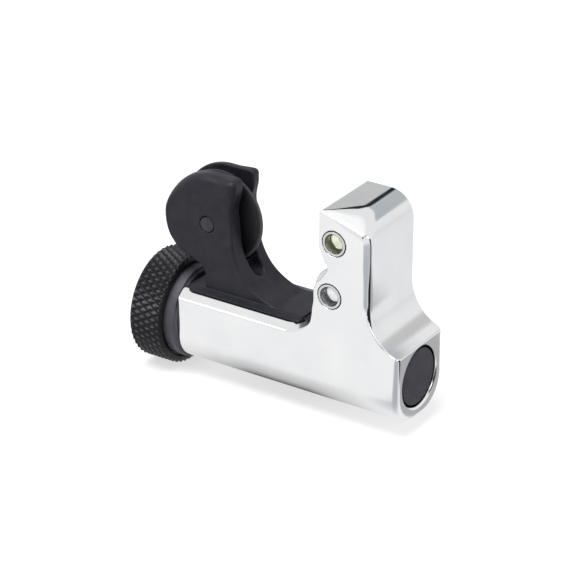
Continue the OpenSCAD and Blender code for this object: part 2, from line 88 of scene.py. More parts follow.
heel_len = 6.8
cheek_depth = 10.55
crown_r = 5.0
swoop_r = 9.1
swoop_rise = 15.6
cheek_gap = 11.7
lobe_r = 3.6
notch_r = 1.4
foot_r = 7.2
facet_turn = 35.7
facet_slope = 29.7
corner_flat = 1.6
corner_side_clear = 0.6
corner_end_clear = 0.3
corner_rounds = (0.6, 0.2)
ridge_rounds = (0.1, 1.0)
pocket_rounds = (0.02, 0.22)
groove_round = 0.03
pin_hole_clear = 0.03
pin_hole_round = 0.14
room = 0.4

head_r = 9.8
shoulder_round = 0.45
shoulder_swell = 1.6
nose_loss_share = 0.4
low_edge_round = 0.22
fork_reach = 6.05
fork_nose_rise = 28.6
fork_waist_rise = 25.2
fork_waist = 0.95
sweep_in = 0.35
sweep_r = 11.3
neck_back = 4.5
fork_slot_w = 3.7
slot_round = 0.28
flange_t = 0.7
flange_edge = 0.25
flange_corner_r = 1.4
flange_back = 1.1
plate_round = 0.1
plate_fillet = 0.12
slope_round = 0.04
tongue_corner_r = 0.6
neck_w = 6.4
neck_clear = 0.15
barrel_len = 12.4
barrel_round = 0.3
screw_hole_r = 3.4
relief_w = 3.4
relief_rise = 11.2
run_clear = 0.05
press_clear = 0.01
pin_head_r = 1.5
pin_head_len = 1.2
pin_head_clear = 0.16
pin_shank_r = 1.25
pin_round = 0.12
wheel_edge = 1.9

knurl_count = 48
knurl_pitch = 2.56
knurl_depth = 0.42
knob_bevel = 0.7
knob_bevel_len = 0.43
thread_pitch = 1.0

# Where the colour bands laid by distance from an axis end
axis_reach = 12


def measured(node):
    """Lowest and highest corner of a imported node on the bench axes, in millimetres."""
    low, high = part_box(node)
    return np.array(low) / MM - origin, np.array(high) / MM - origin


frame_corner = np.array(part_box("frame")[0]) / MM
origin = np.array([frame_corner[0], 0.0, frame_corner[2] + beam_drop])


def to_row(points):
    return (np.asarray(points, float) + origin) * MM


def centre_of(node):
    low, high = measured(node)
    return (low + high) / 2


def half_size(node, axis):
    """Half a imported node's size along a bench axis, 0 for x to 2 for z."""
    low, high = measured(node)
    return (high[axis] - low[axis]) / 2


frame_low, frame_high = measured("frame")
frame_len = frame_high[0]
half_w = frame_high[1]
upright_rise = frame_high[2]
upright_back = frame_len - heel_len
cheek_front = upright_back - cheek_depth
upper_pin = centre_of("upper_roller_pin")
lower_pin = centre_of("lower_roller_pin")
roller_pin_r = half_size("upper_roller_pin", 0)
roller_r = half_size("upper_roller", 0)
foot_x = lower_pin[0] - lobe_r - foot_r
swoop_x = upright_back + swoop_r
pocket_r = roller_r + room
pocket_mouth = foot_x - 1

wheel_pin = centre_of("cutter_wheel")
wheel_plane = wheel_pin[1]
wheel_r = half_size("cutter_wheel", 0)
slide_low, slide_high = measured("slide")
slide_half_w = -measured("wheel_pin")[0][1]
flange_half_w = slide_high[1]
tongue_end = slide_high[0]
travel = frame["record"]["behaviour"]["joints"][1]["range_m"][1] / MM
slide_base = rail_rise + run_clear
tongue_top = slide_base + flange_t
fork_front = wheel_pin[0] + fork_reach
sweep_x = fork_front - sweep_in + sweep_r
sweep_rise = tongue_top + sweep_r
fork_slot_r = wheel_r + room + run_clear
neck_end = neck_back + barrel_len
knob_r = measured("knob")[1][2]


# Distance fields: negative inside, positive outside

def arc(x, z, radius, start, end):
    """An arc of an outline, from one angle to another in degrees."""
    return ("arc", x, z, radius, start, end)


def arc_point(piece, angle):
    return piece[1] + piece[3] * math.cos(angle * DEG), piece[2] + piece[3] * math.sin(angle * DEG)


def fillet(before, corner, after, radius, limit_share=math.inf):
    """Centre, radius, first angle and turn, in radians, of the arc that rounds a corner.

    The arc reaches along a side by no more than a share of it. A nearly straight corner has none.
    """
    corner = np.array(corner, float)
    u, v = np.array(before, float) - corner, np.array(after, float) - corner
    limit = min(np.linalg.norm(u), np.linalg.norm(v)) * limit_share
    u /= np.linalg.norm(u)
    v /= np.linalg.norm(v)
    half = math.acos(np.clip(u @ v, -1, 1)) / 2
    sharpest, straightest = 0.05, 1.5
    if not sharpest <= half <= straightest:
        return None
    reach = min(radius / math.tan(half), limit)
    radius = reach * math.tan(half)
    middle = (u + v) / np.linalg.norm(u + v)
    centre = corner + middle * radius / math.sin(half)
    start, end = corner + u * reach - centre, corner + v * reach - centre
    first = math.atan2(start[1], start[0])
    turn = (math.atan2(end[1], end[0]) - first + math.pi) % (2 * math.pi) - math.pi
    return centre, radius, first, turn


def softened(points, radii):
    """Corner points with a radius each, as arcs that touch both neighbouring lines."""
    made = [points[0]]
    for before, corner, after, radius in zip(points, points[1:], points[2:], radii):
        centre, radius, first, turn = fillet(before, corner, after, radius)
        made.append(arc(centre[0], centre[1], radius, math.degrees(first), math.degrees(first + turn)))
    return made + [points[-1]]


def closed_path(items):
    """Points and arcs in order, joined by straight lines into a closed outline."""
    ends = [(arc_point(i, i[4]), arc_point(i, i[5])) if i[0] == "arc" else (i, i) for i in items]
    pieces = []
    for here, item in enumerate(items):
        if item[0] == "arc":
            pieces.append(item)
        start, end = ends[here][1], ends[(here + 1) % len(items)][0]
        if math.dist(start, end) > 1e-6:
            pieces.append(("line", start[0], start[1], end[0], end[1]))
    return pieces


def outline_distance(x, z, pieces):
    """Exact signed distance to a closed outline of lines and arcs."""
    x, z = np.broadcast_arrays(x, z)
    nearest = np.full(x.shape, 1e9)
    inside = np.zeros(x.shape, bool)
    for piece in pieces:
        curved = piece[0] == "arc"
        x0, z0, x1, z1 = arc_point(piece, piece[4]) + arc_point(piece, piece[5]) if curved else piece[1:]
        along_x, along_z = x1 - x0, z1 - z0
        from_x, from_z = x - x0, z - z0
        left = along_x * from_z > along_z * from_x
        inside ^= ((z0 > z) != (z1 > z)) & (left == (z1 > z0))
        if curved:
            centre_x, centre_z, radius, start, end = piece[1:]
            off_x, off_z = x - centre_x, z - centre_z
            away = np.hypot(off_x, off_z)
            scale = radius / np.maximum(away, 1e-9)
            reach_x, reach_z = centre_x - x0 + off_x * scale, centre_z - z0 + off_z * scale
            clockwise = end < start
            inside ^= (away < radius) & (left == clockwise)
            within = (along_x * reach_z > along_z * reach_x) == clockwise
            gap = np.where(within, np.abs(away - radius), np.hypot(from_x, from_z))
        else:
            share = (from_x * along_x + from_z * along_z) / (along_x ** 2 + along_z ** 2)
            share = np.clip(share, 0, 1)
            gap = np.hypot(from_x - share * along_x, from_z - share * along_z)
        nearest = np.minimum(nearest, gap)
    return np.where(inside, -nearest, nearest)


def meet(a, b, radius):
    """What two shapes share, with its edge rounded."""
    inner = np.minimum(np.maximum(a + radius, b + radius), 0)
    return inner + np.hypot(np.maximum(a + radius, 0), np.maximum(b + radius, 0)) - radius


def soften(a, b, band):
    """What two shapes share where they meet at a shallow angle: only a band by the edge is rounded."""
    near = np.maximum(band - np.abs(a - b), 0) / band
    return np.maximum(a, b) + near * near * band / 4


def join(a, b, radius):
    """Two shapes as one, with the inner corner filled by a fillet."""
    return -meet(-a, -b, radius)


def cut(a, b, radius):
    """The first shape less the second, with the new edge rounded."""
    return meet(a, -b, radius)


def ease(value, start, end):
    """Smooth step from 0 to 1 between two values."""
    share = np.clip((value - start) / (end - start), 0, 1)
    return share * share * (3 - 2 * share)


def between(first, second, share):
    """All of the first value at a share of 0, and all of the second at 1."""
    return first + (second - first) * share


def slab(value, low, high):
    return np.maximum(low - value, value - high)


def tube_y(x, z, centre, radius):
    return np.hypot(x - centre[0], z - centre[2]) - radius


def tube_x(y, z, radius):
    return np.hypot(y, z) - radius


# The frame's field

# The two places between which an edge of the frame changes, on the bench axes
knob_end_run = (3, 6)
bevel_end_run = (foot_x + foot_r - 1, foot_x + foot_r + 0.5)
bevel_end_rise = (rail_rise + 0.5, lower_pin[2] - 1)
corner_run = (upright_back - 3.2, upright_back - 1.2)
corner_across = (-2, 2)
corner_foot_rise = (swoop_rise - 7.5, swoop_rise + 0.5)
corner_head_rise = (upright_rise - 4, upright_rise - 1)
corner_round_rise = (18, 25)
ridge_run = (cheek_front + 1, upright_back - 4)
sill_rise = (rail_rise + 0.3, rail_rise + 1.2)


def frame_path():
    """Side outline of the frame, run past both ends and below the beam."""
    far, deep, end_margin, heel_share = 20.0, 32.0, 1.0, 0.98
    notch_turn, lobe_start = 50, 125
    bottom = rail_rise - deep
    top_round = end_round / 2
    swoop_end = math.degrees(math.acos((frame_len + end_margin - swoop_x) / swoop_r))
    return closed_path([
        (-far, bottom), (frame_len + far, bottom),
        (frame_len + far, swoop_rise - swoop_r * heel_share),
        arc(swoop_x, swoop_rise, swoop_r, 360 - swoop_end, 180),
        arc(upright_back - crown_r, upright_rise - crown_r, crown_r, 0, 90),
        arc(cheek_front + top_round, upright_rise - top_round, top_round, 90, 180),
        (cheek_front, upper_pin[2] - notch_r),
        arc(cheek_front + notch_r / 4, (upper_pin[2] + lower_pin[2]) / 2, notch_r, notch_turn, -notch_turn),
        arc(lower_pin[0], lower_pin[2], lobe_r, lobe_start, 180),
        arc(foot_x, rail_rise + foot_r, foot_r, 0, -90),
        (-far, rail_rise)])


def pocket_path():
    """Side outline of the room between the cheeks."""
    lower_end, upper_start = 50, -45
    right = lower_pin[0] + pocket_r
    return closed_path([
        (pocket_mouth, rail_rise), (right, rail_rise),
        arc(lower_pin[0], lower_pin[2], pocket_r, 0, lower_end),
        arc(upper_pin[0], upper_pin[2], pocket_r, upper_start, 180),
        (pocket_mouth, upper_pin[2])])


FRAME_PATH = frame_path()
POCKET_PATH = pocket_path()


def belly_distance(y, z):
    """Signed distance to the beam's section, open at the top."""
    side = np.abs(y) - (half_w - belly_r)
    down = -z - (beam_drop - belly_r)
    outer = np.hypot(np.maximum(side, 0), np.maximum(down, 0))
    return outer + np.minimum(np.maximum(side, down), 0) - belly_r


def facet_distance(x, y, z):
    """The sloped plane beside the upright's flat top, on the near side."""
    across = half_w + y
    local = (cheek_front - x) * math.sin(facet_turn * DEG) + across * math.cos(facet_turn * DEG)
    return (z - upright_rise) * math.cos(facet_slope * DEG) - local * math.sin(facet_slope * DEG)


def frame_field(x, y, z):
    """The casting: outline and belly, then the flats along its edges, then what is cut out of it."""
    side = outline_distance(x, z, FRAME_PATH)
    belly = belly_distance(y, z)
    end_r = between(knob_end_round, end_round, ease(x, *knob_end_run))
    body = meet(slab(x, 0, frame_len), belly, end_r)
    solid = meet(side, body, edge_round)

    gone = np.maximum(ease(z, *bevel_end_rise), ease(x, *bevel_end_run))
    depth = (1 - rail_bevel_fade * gone) * rail_bevel_w * rail_bevel_h
    bevel = (belly * rail_bevel_h + side * rail_bevel_w + depth) / math.hypot(rail_bevel_w, rail_bevel_h)
    solid = soften(solid, bevel, rail_bevel_round)

    near_back = ease(x, *corner_run) * (1 - ease(y, *corner_across))
    tall = ease(z, *corner_foot_rise) * (1 - ease(z, *corner_head_rise))
    flat = between(-corner_side_clear, between(-corner_end_clear, corner_flat, tall), near_back)
    corner = (belly + side) / math.sqrt(2) + flat / 2
    solid = soften(solid, corner, between(*corner_rounds, ease(z, *corner_round_rise)))
    solid = soften(solid, facet_distance(x, y, z), between(*ridge_rounds, ease(x, *ridge_run)))

    pocket = np.maximum(outline_distance(x, z, POCKET_PATH), np.abs(y) - cheek_gap / 2)
    solid = cut(solid, pocket, between(*pocket_rounds, ease(z, *sill_rise)))
    groove = np.maximum(slab(x, pocket_mouth, tongue_end + travel + room),
                        slab(z, rail_rise, tongue_top + room))
    solid = cut(solid, np.maximum(groove, np.abs(y) - flange_half_w - room / 2), groove_round)
    slot = np.maximum(np.abs(y) - (neck_w / 2 + neck_clear), x - (neck_end + travel + room))
    solid = cut(solid, np.maximum(slot, slab(z, 0, rail_rise + overrun)), mouth_round)
    bore = tube_x(y, z, bore_r)
    mouth = tube_x(y, z, bore_r + mouth_chamfer) + (frame_len - x)
    solid = cut(solid, np.minimum(bore, mouth), mouth_round)
    for pin in (upper_pin, lower_pin):
        solid = cut(solid, tube_y(x, z, pin, roller_pin_r + pin_hole_clear), pin_hole_round)
    return solid


# The slide's field

# The two places between which an edge of the slide changes, on the bench axes
shoulder_rise = (wheel_pin[2] + 1, wheel_pin[2] + 7)
nose_run = (7, 10)
low_edge_rise = (tongue_top + 1, tongue_top + 4)


def slide_path():
    """Side outline of the fork, the body and the tongue."""
    head_start, top_round = 207, 1.0
    chin_shares, throat_shares, corner_share = (0.74, 0.64), (0.09, 0.46), 0.29
    back_radii, front_radii = [1.6, 1.2, 1.2], [5, 6]
    chin = (wheel_pin[0] - head_r * chin_shares[0], wheel_pin[2] - head_r * chin_shares[1])
    throat = (neck_back - head_r * throat_shares[0], tongue_top + head_r * throat_shares[1])
    corner = (neck_back, tongue_top + head_r * corner_share)
    head_top = wheel_pin[2] + head_r
    head = arc(wheel_pin[0], wheel_pin[2], head_r, head_start, 90)
    lower = softened([(neck_back, slide_base), corner, throat, chin, arc_point(head, head_start)],
                     back_radii)
    front = softened([(fork_front, head_top - top_round), (fork_front, fork_nose_rise),
                      (fork_front - fork_waist, fork_waist_rise), (sweep_x - sweep_r, sweep_rise)],
                     front_radii)
    return closed_path(lower[:-1] + [
        head, arc(fork_front - top_round, head_top - top_round, top_round, 90, 0)] + front[1:-1] + [
        arc(sweep_x, sweep_rise, sweep_r, 180, 270),
        (tongue_end, tongue_top), (tongue_end, slide_base)])


def flange_path():
    """View from above of the flange and the tongue."""
    back, end = flange_back + flange_corner_r, flange_half_w - flange_corner_r
    tip, side = tongue_end - tongue_corner_r, flange_half_w - tongue_corner_r
    return closed_path([
        arc(back, -end, flange_corner_r, 180, 270),
        arc(tip, -side, tongue_corner_r, 270, 360),
        arc(tip, side, tongue_corner_r, 0, 90),
        arc(back, end, flange_corner_r, 90, 180)])


SLIDE_PATH = slide_path()
FLANGE_PATH = flange_path()


def slide_field(x, y, z):
    """The slide: body, flange and tongue, neck and barrel, less the wheel's slot, the relief and holes."""
    side = outline_distance(x, z, SLIDE_PATH)
    half_y = np.abs(y)
    swell = shoulder_swell * ease(z, *shoulder_rise) * (1 - nose_loss_share * ease(x, *nose_run))
    edge = between(shoulder_round + swell, low_edge_round, 1 - ease(z, *low_edge_rise))
    body = meet(side, half_y - slide_half_w, edge)
    run, rise = flange_half_w - slide_half_w, flange_t - flange_edge
    slope = ((z - slide_base - flange_edge) * run + (half_y - flange_half_w) * rise) / math.hypot(run, rise)
    plate = meet(outline_distance(x, y, FLANGE_PATH), slab(z, slide_base, tongue_top), plate_round)
    solid = join(body, soften(plate, slope, slope_round), plate_fillet)
    neck = np.maximum(np.maximum(half_y - neck_w / 2, slab(x, neck_back, neck_end)),
                      slab(z, 0, slide_base + flange_t / 2))
    barrel = meet(tube_x(y, z, bore_r - run_clear), slab(x, neck_back, neck_end), barrel_round)
    solid = np.minimum(solid, np.minimum(neck, barrel))

    from_wheel = y - wheel_plane
    disc = tube_y(x, z, wheel_pin, fork_slot_r)
    back = np.maximum(np.abs(z - wheel_pin[2]) - fork_slot_r / 2, x - wheel_pin[0])
    slot = np.minimum(disc, np.minimum(wheel_pin[2] - z, back))
    solid = cut(solid, np.maximum(slot, np.abs(from_wheel) - fork_slot_w / 2), slot_round)
    relief_r = relief_w / 2
    relief_axis = relief_rise + relief_r
    trough = np.where(z < relief_axis, np.hypot(from_wheel, z - relief_axis), np.abs(from_wheel)) - relief_r
    relief = np.maximum(np.maximum(trough, sweep_x - sweep_r - x), z - wheel_pin[2])
    solid = cut(solid, relief, slot_round)
    pin = tube_y(x, z, wheel_pin, pin_shank_r + press_clear)
    head = np.maximum(tube_y(x, z, wheel_pin, pin_head_r + pin_head_clear), y + slide_half_w - pin_head_len)
    solid = cut(solid, np.minimum(pin, head), pin_round)
    return np.maximum(solid, -tube_x(y, z, screw_hole_r))


# Meshes from fields

def near_surface(field, axes, cell, block=8):
    """The field on a grid, worked out only in blocks that its surface can reach."""
    reach_share, batch_size, least = 0.95, 200, 1e-9
    centres = [axis[:-1:block] + cell * block / 2 for axis in axes]
    coarse = field(*np.meshgrid(*centres, indexing="ij"))
    values = np.repeat(np.repeat(np.repeat(np.sign(coarse), block, 0), block, 1), block, 2)
    values = np.pad(values, [(0, 1)] * 3, mode="edge")
    offsets = np.arange(block + 1) * cell
    corners = np.argwhere(np.abs(coarse) < cell * block * reach_share) * block
    for first in range(0, len(corners), batch_size):
        batch = corners[first:first + batch_size]
        x, y, z = [axes[n][batch[:, n]][:, None] + offsets for n in range(3)]
        parts = field(x[:, :, None, None], y[:, None, :, None], z[:, None, None, :])
        for corner, part in zip(batch, parts):
            values[tuple(slice(c, c + block + 1) for c in corner)] = part
    values[np.abs(values) < least] = least
    return values


def surface(field, low, high, cell, block=8):
    """Vertices and quads on a field's zero level, with its edges and corners kept sharp."""
    margin, shift, stiffness, reach = 0.6, 0.13, 0.06, 0.7 * cell
    counts = [math.ceil((b - a) / cell / block + margin) * block + 1 for a, b in zip(low, high)]
    axes = [(a + b) / 2 + (np.arange(n) - (n - 1) / 2 + shift) * cell for a, b, n in zip(low, high, counts)]
    values = near_surface(field, axes, cell, block)
    inside = values < 0
    shape = np.array(values.shape)
    owners, points, turned = [], [], []
    for axis in range(3):
        b, c = (axis + 1) % 3, (axis + 2) % 3
        here = [slice(None)] * 3
        there = [slice(None)] * 3
        here[axis], there[axis] = slice(0, -1), slice(1, None)
        crossing = np.argwhere(inside[tuple(here)] != inside[tuple(there)])
        ahead = crossing.copy()
        ahead[:, axis] += 1
        v0, v1 = values[tuple(crossing.T)], values[tuple(ahead.T)]
        point = np.stack([axes[n][crossing[:, n]] for n in range(3)], 1)
        point[:, axis] += cell * v0 / (v0 - v1)
        around = []
        for db, dc in ((-1, -1), (0, -1), (0, 0), (-1, 0)):
            at = crossing.copy()
            at[:, b] += db
            at[:, c] += dc
            around.append(np.ravel_multi_index(tuple(at.T), shape))
        owners.append(np.stack(around, 1))
        points.append(point)
        turned.append(v0 > 0)
    owners, points, turned = np.concatenate(owners), np.concatenate(points), np.concatenate(turned)
    normals = slopes(field, points)
    normals /= np.maximum(np.linalg.norm(normals, axis=1), 1e-9)[:, None]

    cells, quads = np.unique(owners, return_inverse=True)
    quads = quads.reshape(owners.shape)
    flat, edge = quads.ravel(), np.repeat(np.arange(len(points)), 4)

    def gathered(weights):
        return np.bincount(flat, weights[edge], len(cells))

    count = gathered(np.ones(len(points)))
    middle = np.stack([gathered(points[:, n]) for n in range(3)], 1) / count[:, None]
    offset = np.einsum("ij,ij->i", normals, points)
    square = np.stack([np.stack([gathered(normals[:, m] * normals[:, n]) for n in range(3)], 1)
                       for m in range(3)], 1)
    pull = np.stack([gathered(normals[:, n] * offset) for n in range(3)], 1)
    pull -= np.einsum("imn,in->im", square, middle)
    square += np.eye(3) * stiffness
    moved = middle + np.clip(np.linalg.solve(square, pull[..., None])[..., 0], -reach, reach)
    quads[turned] = quads[turned][:, ::-1]
    return moved, quads


def slopes(field, points, step=0.004):
    """The field's gradient at each point."""
    made = []
    for axis in range(3):
        offset = np.zeros(3)
        offset[axis] = step
        ahead, behind = points + offset, points - offset
        made.append((field(*ahead.T) - field(*behind.T)) / (2 * step))
    return np.stack(made, 1)


def settled(field, points, limit):
    """Points moved toward the field's zero level, by no more than a limit."""
    value = field(*points.T)
    slope = slopes(field, points)
    move = -value[:, None] * slope / np.maximum((slope ** 2).sum(1), 0.2)[:, None]
    length = np.linalg.norm(move, axis=1)
    return points + move * np.minimum(1, limit / np.maximum(length, 1e-9))[:, None]


def field_piece(name, field, low, high, cell, material):
    points, quads = surface(field, low, high, cell)
    points = settled(field, points, cell / 2)
    normals = slopes(field, points)
    normals /= np.maximum(np.linalg.norm(normals, axis=1), 1e-9)[:, None]
    piece = mesh_piece(name, points, quads, material)
    piece.data.normals_split_custom_set_from_vertices(normals.tolist())
    return piece


# Mesh tools

def mesh_piece(name, points, faces, material):
    mesh = bpy.data.meshes.new(name)
    mesh.from_pydata(to_row(points).tolist(), [], [list(map(int, f)) for f in faces])
    mesh.materials.append(material)
    mesh.shade_smooth()
    mesh.update()
    piece = bpy.data.objects.new(name, mesh)
    bpy.context.scene.collection.objects.link(piece)
    return piece


def rounded(points, radius, steps=3, closed=True):
    """A profile whose corners are small arcs."""
    made = []
    count = len(points)
    for i, corner in enumerate(points):
        at_end = not closed and i in (0, count - 1)
        bend = None if at_end else fillet(points[i - 1], corner, points[(i + 1) % count], radius, 0.45)
        if bend is None:
            made.append(tuple(corner))
            continue
        centre, bend_r, first, turn = bend
        for k in range(steps + 1):
            angle = first + turn * k / steps
            made.append((centre[0] + bend_r * math.cos(angle), centre[1] + bend_r * math.sin(angle)))
    return made


def spun(name, profile, centre, axis, material, segments=96, closed=True, shape=None):
    """A turned piece. The profile holds (place along the axis, radius), and shape may change the radius."""
    rings = []
    turn = np.arange(segments) * 2 * math.pi / segments
    for along, radius in profile:
        r = np.full(segments, radius) if shape is None else shape(along, turn, radius)
        if axis == "x":
            ring = np.stack([np.full(segments, along), -r * np.sin(turn), r * np.cos(turn)], 1)
        else:
            ring = np.stack([r * np.sin(turn), np.full(segments, along), r * np.cos(turn)], 1)
        rings.append(ring)
    points = np.concatenate(rings) + np.array(centre)
    faces = []
    count = len(profile)
    for i in range(count if closed else count - 1):
        j = (i + 1) % count
        for k in range(segments):
            n = (k + 1) % segments
            faces.append((i * segments + k, i * segments + n, j * segments + n, j * segments + k))
    piece = mesh_piece(name, points, faces, material)
    made = bmesh.new()
    made.from_mesh(piece.data)
    bmesh.ops.remove_doubles(made, verts=made.verts, dist=0.002 * MM)
    bmesh.ops.recalc_face_normals(made, faces=made.faces)
    made.to_mesh(piece.data)
    made.free()
    piece.data.shade_smooth()
    piece.data.set_sharp_from_angle(angle=38 * DEG)
    return piece


# Materials

class Graph:
    """A node tree under construction. What its functions take are links from other nodes, or constants."""

    def __init__(self, owner):
        owner.use_nodes = True
        self.nodes, self.links = owner.node_tree.nodes, owner.node_tree.links

    def add(self, kind, inputs=None, **settings):
        """A node with its settings, and with its inputs linked or set."""
        node = self.nodes.new("ShaderNode" + kind)
        for name, value in settings.items():
            setattr(node, name, value)
        for name, value in (inputs or {}).items():
            if isinstance(value, bpy.types.NodeSocket):
                self.links.new(value, node.inputs[name])
            else:
                node.inputs[name].default_value = value
        return node

    def vector(self, operation, first, second=None):
        """A vector operation on a link and, where it takes one, a constant."""
        node = self.add("VectorMath", {0: first} if second is None else {0: first, 1: second},
                        operation=operation)
        return node.outputs["Value" if operation in ("LENGTH", "DOT_PRODUCT") else "Vector"]

    def number(self, operation, first, second):
        return self.add("Math", {0: first, 1: second}, operation=operation).outputs[0]

    def spread(self, value, low, high, start=0.3, end=0.7, curve="LINEAR"):
        """A value mapped from start to end onto low to high."""
        limits = {"From Min": start, "From Max": end, "To Min": low, "To Max": high}
        return self.add("MapRange", {"Value": value, **limits}, interpolation_type=curve).outputs["Result"]

    def ramp(self, value, *stops):
        """Colours that blend from stop to stop of a value between 0 and 1."""
        node = self.add("ValToRGB", {"Fac": value})
        elements = node.color_ramp.elements
        while len(elements) < len(stops):
            elements.new(0.5)
        for element, (at, colour) in zip(elements, stops):
            element.position = at
            element.color = (*colour, 1)
        return node.outputs["Color"]

    def bands(self, value, top, *stops):
        """Colours that blend from stop to stop of a value between 0 and top."""
        return self.ramp(self.spread(value, 0, 1, 0, top), *[(at / top, colour) for at, colour in stops])

    def mixed(self, share, first, second, blend="MIX"):
        """Two colours mixed, from all of the first at 0 to all of the second at 1."""
        return self.add("Mix", {"Factor": share, "A": first, "B": second}, data_type="RGBA",
                        blend_type=blend).outputs["Result"]

    def tinted(self, first, second):
        """Two colours multiplied."""
        return self.mixed(1.0, first, second, "MULTIPLY")

    def shaded(self, share, first, second):
        """Two shaders mixed."""
        return self.add("MixShader", {0: share, 1: first, 2: second}).outputs[0]


class Finish(Graph):
    """A material under construction, with its principled shader."""

    def __init__(self, name):
        self.material = bpy.data.materials.new(name)
        super().__init__(self.material)
        self.main = self.nodes["Principled BSDF"]
        self.place = self.add("TexCoord").outputs["Object"]

    def noise(self, size_mm, detail=3.0, roughness=0.55, stretch=(1, 1, 1)):
        """Noise with a feature size in millimetres, from 0 to 1."""
        scale = [s / (size_mm * MM) for s in stretch]
        mapping = self.add("Mapping", {"Vector": self.place, "Scale": scale})
        return self.add("TexNoise", {"Vector": mapping.outputs["Vector"], "Scale": 1.0, "Detail": detail,
                                     "Roughness": roughness}).outputs["Fac"]

    def colours(self, value, low, high):
        """A noise mapped onto a blend of two colours."""
        return self.ramp(value, (0.3, low), (0.7, high))

    def from_axis(self, point, along):
        """Distance in millimetres from a line through a bench point, along the tool or across it."""
        offset = self.vector("SUBTRACT", self.place, to_row(point))
        flat = self.vector("MULTIPLY", offset, [(axis != along) / MM for axis in "xyz"])
        return self.vector("LENGTH", flat)

    def bump(self, height, depth_mm):
        """A bump of that depth, laid over any bump made before."""
        inputs = {"Strength": 1.0, "Distance": depth_mm * MM, "Height": height}
        if self.main.inputs["Normal"].is_linked:
            inputs["Normal"] = self.main.inputs["Normal"].links[0].from_socket
        self.link("Normal", self.add("Bump", inputs).outputs["Normal"])

    def set(self, **values):
        for name, value in values.items():
            self.main.inputs[name.replace("_", " ")].default_value = value

    def link(self, name, value):
        self.links.new(value, self.main.inputs[name])


def grey(tone):
    return (tone, tone, tone)


def chrome():
    """Polished plating outside, and painted shade darkening the bore."""
    s = Finish("frame_chrome")
    s.set(Metallic=1.0)
    plated = s.colours(s.noise(9), (0.745, 0.75, 0.76), (0.80, 0.80, 0.805))
    # painted shade: the inside of the bore is coloured dark to stand for the shade in it
    bore_shade = s.bands(s.from_axis((0, 0, 0), "x"), axis_reach, (bore_r, (0.1, 0.1, 0.11)),
                   (bore_r + 0.12, grey(1)))
    s.link("Base Color", s.tinted(plated, bore_shade))
    s.link("Roughness", s.spread(s.noise(3.5), 0.07, 0.13))
    s.bump(s.noise(7, detail=1.0), 0.03)
    s.bump(s.noise(1.6, detail=2.0), 0.0016)
    return s.material


def dark_coat(name, low, high, rough_low, rough_high, grain_mm, grain_depth, gloss=0.25):
    """A black coating with fine grain, small specks and uneven gloss."""
    s = Finish(name)
    s.set(Specular_IOR_Level=gloss)
    s.link("Base Color", s.colours(s.noise(2.2, detail=5.0), low, high))
    s.link("Roughness", s.spread(s.noise(1.1, detail=4.0), rough_low, rough_high))
    s.bump(s.noise(grain_mm, detail=4.0, roughness=0.65), grain_depth)
    return s.material


def knurl_coat():
    """The knob's coating: worn bright on the knurl's points, with painted shade dark down in its grooves."""
    s = Finish("knob_black")
    s.set(Specular_IOR_Level=0.2)
    # bands by radius: painted shade darkens the grooves, and wear lightens the points
    wear_and_groove_shade = s.bands(s.from_axis((0, 0, 0), "x"), axis_reach,
                   (knob_r - 0.57, (0.010, 0.0095, 0.012)), (knob_r - 0.39, (0.004, 0.004, 0.005)),
                   (knob_r - 0.17, (0.013, 0.0125, 0.017)), (knob_r - 0.03, (0.075, 0.075, 0.09)))
    uneven = s.colours(s.noise(1.4, detail=4.0), grey(0.45), grey(1.1))
    s.link("Base Color", s.tinted(wear_and_groove_shade, uneven))
    s.link("Roughness", s.spread(s.noise(1.1, detail=4.0), 0.28, 0.42))
    s.bump(s.noise(0.2, detail=4.0, roughness=0.65), 0.008)
    return s.material


def steel(name, low, high, rough_low, rough_high, stretch=(1, 1, 1)):
    """Bare or plated metal with fine tool marks."""
    s = Finish(name)
    s.set(Metallic=1.0)
    s.link("Base Color", s.colours(s.noise(2.4), low, high))
    s.link("Roughness", s.spread(s.noise(0.8, detail=4.0), rough_low, rough_high))
    s.bump(s.noise(1.2, detail=3.0, stretch=stretch), 0.004)
    return s.material


def wheel_steel():
    """Near-black steel with a ground rim, its dark blade partly painted shade from the fork."""
    s = Finish("wheel_steel")
    s.set(Metallic=0.0, Specular_IOR_Level=0.2)
    # painted shade: the blade is coloured darker than the rim to stand partly for the fork's shade
    tone = s.bands(s.from_axis(wheel_pin, "y"), axis_reach, (wheel_r - wheel_edge, (0.006, 0.006, 0.008)),
                   (wheel_r - 0.7, (0.012, 0.012, 0.014)), (wheel_r - 0.25, (0.07, 0.07, 0.078)))
    s.link("Base Color", tone)
    s.link("Roughness", s.spread(s.noise(0.8, detail=4.0), 0.3, 0.42))
    return s.material


def pin_zinc(name, pin, cone, wall):
    """A plated pin: bright ring at the mouth, painted shade darkening the hollow's wall and inner edge, and
    a dark joint with the frame.
    """
    s = Finish(name)
    s.set(Metallic=1.0)
    # painted shade: the wall colour and the shadow band darken the hollow's point, its wall and its inner
    # edge
    shadow, ring, joint = grey(0.1), (0.62, 0.63, 0.63), (0.03, 0.03, 0.032)
    tone = s.bands(s.from_axis(pin, "y"), 4, (0.6, wall), (0.9, cone), (1.6, cone), (1.75, wall),
                   (1.84, wall), (1.9, shadow), (1.94, shadow), (2.02, ring), (2.36, ring), (2.42, joint))
    s.link("Base Color", s.tinted(tone, s.colours(s.noise(1.2), grey(0.8), grey(1.1))))
    s.link("Roughness", s.spread(s.noise(0.8, detail=4.0), 0.14, 0.26))
    return s.material


